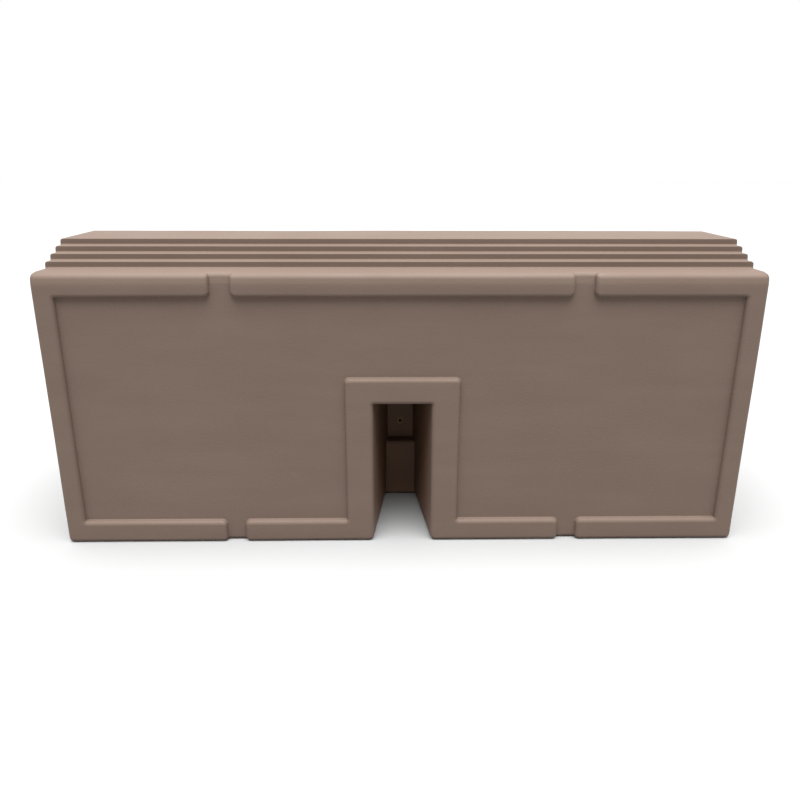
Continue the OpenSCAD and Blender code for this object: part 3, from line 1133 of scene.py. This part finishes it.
@dataclass
class DrainFitting:
    """Threaded barrel welded into the rear notch, with its screw plug and gasket. Millimetres."""

    bore_r: float = 18.0
    barrel_r: float = 22.9
    flange_r: float = 30.0
    flange_t: float = 4.0
    tail: float = 20.4
    head_r: float = 25.0
    head_v: float = 7.0
    top_v: float = 12.0
    shank_r: float = 17.7
    shank_v: float = -14.0
    cup_r: float = 13.5
    post_r: float = 10.0
    grip_v: float = 14.8
    grip_l: float = 14.0
    grip_af: float = 30.0
    pitch: float = 6.0

    def barrel(self, port: Port) -> bmesh.types.BMesh:
        """Builds the flange and the barrel, with the thread inside its bore."""
        outline = scaled([
            (self.bore_r, -self.tail, 0.6), (self.barrel_r, -self.tail, 1.0),
            (self.barrel_r, 0.05, 0.0), (self.flange_r, 0.05, 0.6),
            (self.flange_r, 1.7, 0.7), (self.flange_r - 2.2, self.flange_t, 0.9),
            (self.bore_r, self.flange_t, 0.7),
        ])
        bm = lathe(outline, Matrix.Identity(4))
        thread = Thread(self.pitch * MM, 1.4 * MM, -(self.tail - 1.0) * MM, 2.6 * MM, True)
        cut_thread(bm, self.bore_r * MM, thread)
        bmesh.ops.transform(bm, matrix=port.frame, verts=bm.verts)
        return bm

    def plug(self, port: Port) -> bmesh.types.BMesh:
        """Builds the plug's hollow threaded shank, its fluted head and its post."""
        outline = scaled([
            (0.0, self.head_v, 0.0), (self.cup_r, self.head_v, 1.0),
            (self.cup_r, self.shank_v, 0.5), (self.shank_r, self.shank_v, 1.2),
            (self.shank_r, self.head_v, 0.3), (self.head_r, self.head_v, 0.6),
            (self.head_r, self.top_v, 1.2), (self.post_r, self.top_v, 0.3),
            (self.post_r, self.grip_v + 1.0, 0.0), (0.0, self.grip_v + 1.0, 0.0),
        ])
        bm = lathe(outline, Matrix.Identity(4), 144)
        low, high = (self.head_v + 0.7) * MM, (self.top_v - 1.2) * MM
        cut_planes(bm, 2, [low + k * (high - low) / 3 for k in range(4)])
        flute(bm, self.head_r * MM, 30, 0.9 * MM, self.head_v * MM, self.top_v * MM)
        thread = Thread(self.pitch * MM, 1.3 * MM, (self.shank_v + 0.9) * MM, (self.head_v - 2.0) * MM)
        cut_thread(bm, self.shank_r * MM, thread)
        bmesh.ops.transform(bm, matrix=port.frame, verts=bm.verts)
        return bm

    def grip(self, port: Port) -> bmesh.types.BMesh:
        """Builds the six-sided grip, chamfered at its end and hollowed for moulding."""
        bm = bmesh.new()
        corner = self.grip_af / 2 / math.cos(math.pi / 6) * MM
        middle = (self.grip_v + self.grip_l / 2) * MM
        bmesh.ops.create_cone(
            bm, cap_ends=True, segments=6, radius1=corner, radius2=corner, depth=self.grip_l * MM,
            matrix=port.up(middle),
        )
        end = max(bm.faces, key=lambda f: (port.frame.inverted() @ f.calc_center_median()).z)
        bmesh.ops.inset_region(bm, faces=[end], thickness=0.0042, depth=0.0)
        bmesh.ops.inset_region(bm, faces=[end], thickness=0.0005, depth=-0.0085)
        round_edges(bm, is_sharp, 0.0008, 3)
        return bm

    def gasket(self, port: Port) -> bmesh.types.BMesh:
        """Builds the gasket under the plug's head."""
        low, high = self.flange_t + 0.05, self.head_v - 0.05
        outline = scaled(gasket_outline(self.bore_r + 0.1, self.head_r - 1.1, low, high))
        return lathe(outline, port.frame)


@dataclass
class Tether:
    """Moulded tether: a ring on a cap's post, a strap bent in an S, and an eye. Millimetres."""

    ring_v: float
    edge_u: float
    bend_r: float
    eye_u: float
    ring_r: float = 16.0
    hole_r: float = 10.4
    eye_r: float = 7.0
    eye_hole_r: float = 2.9
    width: float = 8.0
    thick: float = 2.0

    def path(self) -> list[Vector]:
        """Returns the strap's middle line in the port's frame, from the ring to the eye."""
        high, low = self.ring_v + self.thick / 2, self.thick / 2
        r = self.bend_r
        drop = self.edge_u + r
        line = [Vector((self.ring_r - 2.0, 0.0, high)), Vector((self.edge_u - 4.0, 0.0, high))]
        for k in range(9):
            a = math.pi / 2 * (1.0 - k / 8)
            line.append(Vector((self.edge_u + r * math.cos(a), 0.0, high - r + r * math.sin(a))))
        for k in range(9):
            a = math.pi + math.pi / 2 * k / 8
            line.append(Vector((drop + r + r * math.cos(a), 0.0, low + r + r * math.sin(a))))
        line += [Vector((drop + r + 3.0, 0.0, low)), Vector((self.eye_u - self.eye_r + 2.0, 0.0, low))]
        return [p * MM for p in line]

    def strap(self, port: Port) -> bmesh.types.BMesh:
        """Sweeps the strap's crowned section along its path."""
        bm = bmesh.new()
        half, crown = self.width / 2 * MM, self.thick / 2 * MM
        line = self.path()
        rings = []
        for i, point in enumerate(line):
            ahead = (line[min(i + 1, len(line) - 1)] - line[max(i - 1, 0)]).normalized()
            normal = Vector((0.0, -1.0, 0.0)).cross(ahead)
            ring = []
            for side, lift in self._section():
                ring.append(bm.verts.new(point + Vector((0.0, side * half, 0.0)) + normal * lift * crown))
            rings.append(ring)
        for before, after in zip(rings, rings[1:]):
            for k, corner in enumerate(before):
                nxt = (k + 1) % len(before)
                bm.faces.new((corner, before[nxt], after[nxt], after[k]))
        bm.faces.new(reversed(rings[0]))
        bm.faces.new(rings[-1])
        bmesh.ops.recalc_face_normals(bm, faces=bm.faces)
        bmesh.ops.transform(bm, matrix=port.frame, verts=bm.verts)
        return bm

    @staticmethod
    def _section() -> list[tuple[float, float]]:
        """Returns the strap's section: flat faces with a bead along each side."""
        half = [(1.0, 0.0), (0.97, 0.7), (0.88, 0.96), (0.74, 0.96), (0.64, 0.62), (0.0, 0.58)]
        upper = half + [(-u, v) for u, v in reversed(half[:-1])]
        return upper + [(u, -v) for u, v in reversed(upper[1:-1])]

    def build(self, name: str, port: Port) -> bpy.types.Object:
        """Returns the whole tether as one object."""
        top = self.ring_v + self.thick
        ring = lathe(scaled([
            (self.hole_r, self.ring_v, 0.4), (self.ring_r, self.ring_v, 0.6),
            (self.ring_r, top, 0.6), (self.hole_r, top, 0.4),
        ]), port.frame)
        eye = lathe(scaled([
            (self.eye_hole_r, 0.02, 0.3), (self.eye_r, 0.02, 0.6),
            (self.eye_r, self.thick - 0.02, 0.6), (self.eye_hole_r, self.thick - 0.02, 0.3),
        ]), port.along(self.eye_u * MM), 64)
        body = as_object(name, self.strap(port))
        carve(body, [as_object("ring", ring), as_object("eye", eye)], "UNION")
        return body


@dataclass
class PanScrew:
    """Pan head screw with a cross recess. Millimetres."""

    shank_r: float = 2.45
    shank_l: float = 14.0
    head_r: float = 5.5
    head_t: float = 3.0
    seat_v: float = 2.0

    def build(self, name: str, port: Port, reach: float) -> bpy.types.Object:
        """Returns the screw at a place along a port's tether."""
        place = port.along(reach * MM)
        top = self.seat_v + self.head_t
        bm = lathe(scaled([
            (0.0, -self.shank_l + 0.1, 0.0), (self.shank_r - 0.9, -self.shank_l + 0.1, 0.2),
            (self.shank_r, -self.shank_l + 1.6, 0.2), (self.shank_r, self.seat_v + 0.02, 0.1),
            (self.head_r, self.seat_v + 0.02, 0.4), (self.head_r, self.seat_v + 1.6, 1.1),
            (self.head_r - 2.2, top, 0.8), (0.0, top, 0.0),
        ]), place, 64)
        body = as_object(name, bm)
        cutters = []
        for turn in (0.0, 90.0):
            cut = bmesh.new()
            spin = Matrix.Rotation(math.radians(turn + 20.0), 4, "Z")
            lift = Matrix.Translation((0.0, 0.0, top * MM))
            bmesh.ops.create_cube(cut, size=1.0, matrix=place @ spin @ lift @ Matrix.Diagonal((0.0056, 0.001, 0.0034, 1.0)))
            cutters.append(as_object("recess", cut))
        carve(body, cutters)
        return body


@dataclass
class Insert:
    """Knurled brass insert with a tapped blind hole. Millimetres."""

    outer_r: float
    length: float
    hole_r: float
    floor: float = 4.0

    def build(self, frame: Matrix) -> bmesh.types.BMesh:
        """Builds one insert, its mouth at the frame's origin and facing its +Z."""
        r, hole = self.outer_r - 0.05, self.hole_r
        outline = scaled([
            (0.0, -self.length, 0.0), (r - 0.8, -self.length, 0.2), (r, -self.length + 0.9, 0.2),
            (r, -9.0, 0.2), (r - 0.8, -8.4, 0.2), (r - 0.8, -6.2, 0.2), (r, -5.6, 0.2),
            (r, -0.35, 0.0), (r - 0.35, 0.0, 0.0), (hole + 1.1, 0.0, 0.15),
            (hole, -1.1, 0.1), (hole, self.floor - self.length, 0.2),
            (0.0, self.floor - self.length - 1.0, 0.0),
        ])
        bm = lathe(outline, Matrix.Identity(4), 72)
        thread = Thread(1.5 * MM, 0.5 * MM, (self.floor - self.length + 1.0) * MM, -1.3 * MM, True)
        cut_thread(bm, hole * MM, thread)
        bmesh.ops.transform(bm, matrix=frame, verts=bm.verts)
        return bm


def merged(parts: Sequence[bmesh.types.BMesh]) -> bmesh.types.BMesh:
    """Returns one mesh that holds several, and frees them."""
    whole = bmesh.new()
    for part in parts:
        mesh = bpy.data.meshes.new("part")
        part.to_mesh(mesh)
        part.free()
        whole.from_mesh(mesh)
        bpy.data.meshes.remove(mesh)
    return whole


# ---- scene ----------------------------------------------------------------------------


@dataclass
class Studio:
    """Camera, floor and soft lights."""

    focal_mm: float = 32.94
    sensor_mm: float = 36.0
    pitch: float = 18.235
    yaw: float = -1.032
    roll: float = 0.14
    eye: tuple[float, float, float] = (-0.0391, -2.1146, 1.0029)
    overhead: float = 11.5
    sky: float = 1.0

    def camera(self) -> None:
        """Makes the scene's camera."""
        data = bpy.data.cameras.new("camera")
        data.lens = self.focal_mm
        data.sensor_width = self.sensor_mm
        data.dof.use_dof = False
        obj = bpy.data.objects.new("camera", data)
        bpy.context.scene.collection.objects.link(obj)
        turn = Matrix.Rotation(math.radians(self.yaw), 4, "Z")
        tip = Matrix.Rotation(math.radians(90.0 - self.pitch), 4, "X")
        spin = Matrix.Rotation(math.radians(self.roll), 4, "Z")
        obj.matrix_world = Matrix.Translation(self.eye) @ turn @ tip @ spin
        bpy.context.scene.camera = obj

    def floor(self) -> None:
        """Makes the pale floor."""
        bm = bmesh.new()
        bmesh.ops.create_grid(bm, x_segments=1, y_segments=1, size=30.0)
        obj = as_object("floor", bm)
        g = NodeGraph("pale floor")
        tone = g.mix(g.noise(0.8, 2.0), (0.235, 0.235, 0.235), (0.25, 0.25, 0.25))
        rough = 0.8 + 0.1 * g.noise(2.0)
        obj.data.materials.append(g.finish({"Specular IOR Level": 0.1}, Base_Color=tone, Roughness=rough))

    def lights(self) -> None:
        """Sets a broad overhead light and white surroundings."""
        scene = bpy.context.scene
        scene.view_settings.view_transform = "Standard"
        self._sun("overhead", (0.0, -0.2, 1.0), 60.0, self.overhead)
        world = bpy.data.worlds.new("surroundings")
        world.use_nodes = True
        back = world.node_tree.nodes["Background"]
        back.inputs["Color"].default_value = (1.0, 1.0, 1.0, 1.0)
        back.inputs["Strength"].default_value = self.sky
        scene.world = world

    def _sun(self, name: str, source: Colour, spread: float, power: float) -> None:
        """Adds a soft directional light.

        Args:
            name: its name.
            source: the direction that it comes from.
            spread: its width, in degrees.
            power: in watts per square metre.
        """
        data = bpy.data.lights.new(name, "SUN")
        data.energy = power
        data.angle = math.radians(spread)
        obj = bpy.data.objects.new(name, data)
        obj.rotation_euler = Vector(source).to_track_quat("Z", "Y").to_euler()
        bpy.context.scene.collection.objects.link(obj)


@dataclass
class Barrier:
    """The whole block: shell, two ports with their caps and tethers, and inserts."""

    block: Block
    fill: Port
    drain: Port
    links: list[Matrix]
    anchor: Matrix
    fill_eye: float = 70.0
    drain_eye: float = 56.0
    screw_l: float = 14.0
    boss_wall: float = 6.0

    @classmethod
    def from_frame(cls) -> "Barrier":
        """Returns the barrier, its places read from the CAD model."""
        low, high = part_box("barrier_shell")
        block = Block(length=high.x - low.x, depth=high.y - low.y, height=high.z - low.z)
        low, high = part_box("fill_port_collar")
        fill = Matrix.Translation(((low.x + high.x) / 2, (low.y + high.y) / 2, block.shoulder_h))
        low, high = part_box("drain_port_collar")
        drain = Matrix(((0, 1, 0, (low.x + high.x) / 2), (0, 0, 1, block.rear_wall_y),
                        (1, 0, 0, (low.z + high.z) / 2), (0, 0, 0, 1)))
        low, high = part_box("pocket_anchor_insert")
        mouth = Matrix.Translation(((low.x + high.x) / 2, low.y, (low.z + high.z) / 2))
        anchor = mouth @ Matrix.Rotation(math.radians(90.0), 4, "X")
        return cls(block, Port(fill), Port(drain), cls._link_frames(), anchor)

    @staticmethod
    def _link_frames() -> list[Matrix]:
        """Returns the mouths of the link inserts, four at the left end and four at the right."""
        frames = []
        for side, node in ((-1, "left_link_inserts"), (1, "right_link_inserts")):
            low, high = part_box(node)
            x = high.x if side > 0 else low.x
            turn = Matrix.Rotation(math.radians(side * 90.0), 4, "Y")
            for y in (low.y + 0.009, high.y - 0.009):
                for z in (low.z + 0.009, high.z - 0.009):
                    frames.append(Matrix.Translation((x, y, z)) @ turn)
        return frames

    def bores(self, extra: float, over: float) -> list[Bore]:
        """Returns the seats of every insert and screw, widened for their bosses if asked.

        Args:
            extra: plastic added round each seat.
            over: how far each reaches past the wall's outer face.
        """
        deep = self.block.wall / 2 if extra else 0.0
        top = over - deep
        seats = [Bore(m, 0.009 + extra, -0.026 - extra, top) for m in self.links]
        seats.append(Bore(self.anchor, 0.011 + extra, -0.020 - extra, top))
        for port, eye in ((self.fill, self.fill_eye), (self.drain, self.drain_eye)):
            place = port.along(eye * MM)
            seats.append(Bore(place, 0.0025 + extra, -self.screw_l * MM - extra, top))
        return seats

    def build_shell(self, finishes: Wardrobe) -> None:
        """Builds the moulded shell, open where its fittings sit."""
        wall = self.block.wall
        ports = [Bore(self.fill.frame, 0.026, -wall - 0.004, 0.001)]
        ports.append(Bore(self.drain.frame, 0.023, -wall - 0.004, 0.001))
        self.block.build(finishes, self.bores(0.0, 0.001) + ports, self.bores(self.boss_wall * MM, 0.0))

    def build_fill_port(self, finishes: Wardrobe) -> None:
        """Builds the fill neck, its cap, gasket, tether and screw."""
        parts = FillFitting()
        neck = smooth(as_object("fill_neck", parts.neck(self.fill)))
        dress(neck, "block", ["fill_port_collar"], finishes[Finish.FITTING])
        cap = as_object("fill_cap_moulding", parts.cap(self.fill))
        carve(cap, parts.slots(self.fill))
        dress(smooth(cap), "fill_cap", ["fill_cap"], finishes[Finish.CAP])
        gasket = smooth(as_object("fill_gasket", parts.gasket(self.fill)))
        dress(gasket, "fill_seal", ["fill_cap_gasket"], finishes[Finish.RUBBER])
        strap = Tether(ring_v=29.4, edge_u=33.0, bend_r=12.0, eye_u=self.fill_eye)
        tether = smooth(strap.build("fill_tether", self.fill))
        dress(tether, "", ["fill_cap_tether"], finishes[Finish.RUBBER])
        self._hold(tether, strap, self.fill, "fill_seal")
        screw = smooth(PanScrew().build("fill_screw", self.fill, self.fill_eye))
        dress(screw, "block", ["fill_tether_screw"], finishes[Finish.STEEL])

    def build_drain_port(self, finishes: Wardrobe) -> None:
        """Builds the drain barrel, its plug, gasket, tether and screw."""
        parts = DrainFitting()
        barrel = smooth(as_object("drain_barrel", parts.barrel(self.drain)))
        dress(barrel, "block", ["drain_port_collar"], finishes[Finish.FITTING])
        plug = as_object("drain_plug_moulding", parts.plug(self.drain))
        carve(plug, [as_object("grip", parts.grip(self.drain))], "UNION")
        dress(smooth(plug), "drain_plug", ["drain_plug"], finishes[Finish.CAP])
        gasket = smooth(as_object("drain_gasket", parts.gasket(self.drain)))
        dress(gasket, "drain_seal", ["drain_plug_gasket"], finishes[Finish.RUBBER])
        strap = Tether(ring_v=12.4, edge_u=27.0, bend_r=6.0, eye_u=self.drain_eye)
        tether = smooth(strap.build("drain_tether", self.drain))
        dress(tether, "", ["drain_plug_tether"], finishes[Finish.RUBBER])
        self._hold(tether, strap, self.drain, "drain_seal")
        screw = smooth(PanScrew().build("drain_screw", self.drain, self.drain_eye))
        dress(screw, "block", ["drain_tether_screw"], finishes[Finish.STEEL])

    @staticmethod
    def _hold(tether: bpy.types.Object, strap: Tether, port: Port, seal: str) -> None:
        """Bakes a tether's placement into its mesh; it ties the tether to no body."""
        reach = (strap.eye_u - strap.eye_r) * MM
        start = port.frame @ Vector((reach, 0.0, 0.0))
        end = port.frame @ Vector(((strap.edge_u + strap.thick) * MM, 0.0, 0.0))
        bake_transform(tether)

    def build_inserts(self, finishes: Wardrobe) -> None:
        """Builds the link inserts of both ends and the anchor in the front notch."""
        link = Insert(9.0, 26.0, 5.1)
        for side, frames in (("left", self.links[:4]), ("right", self.links[4:])):
            bm = merged([link.build(frame) for frame in frames])
            body = smooth(as_object(f"{side}_inserts", bm))
            dress(body, "block", [f"{side}_link_inserts"], finishes[Finish.BRASS])
        # painted shade: the anchor deep in the notch takes the dark copy of the brass
        anchor = smooth(as_object("anchor_insert", Insert(11.0, 20.0, 4.25).build(self.anchor)))
        dress(anchor, "block", ["pocket_anchor_insert"], finishes[Finish.SHADED_BRASS])


def main() -> None:
    """Builds the pieces in order."""
    logging.basicConfig(level=logging.INFO, format="%(name)s: %(message)s")
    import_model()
    studio = Studio()
    studio.camera()
    finishes = Wardrobe()
    barrier = Barrier.from_frame()
    barrier.build_shell(finishes)
    barrier.build_fill_port(finishes)
    barrier.build_drain_port(finishes)
    barrier.build_inserts(finishes)
    studio.floor()
    studio.lights()


if __name__ == "__main__":
    main()
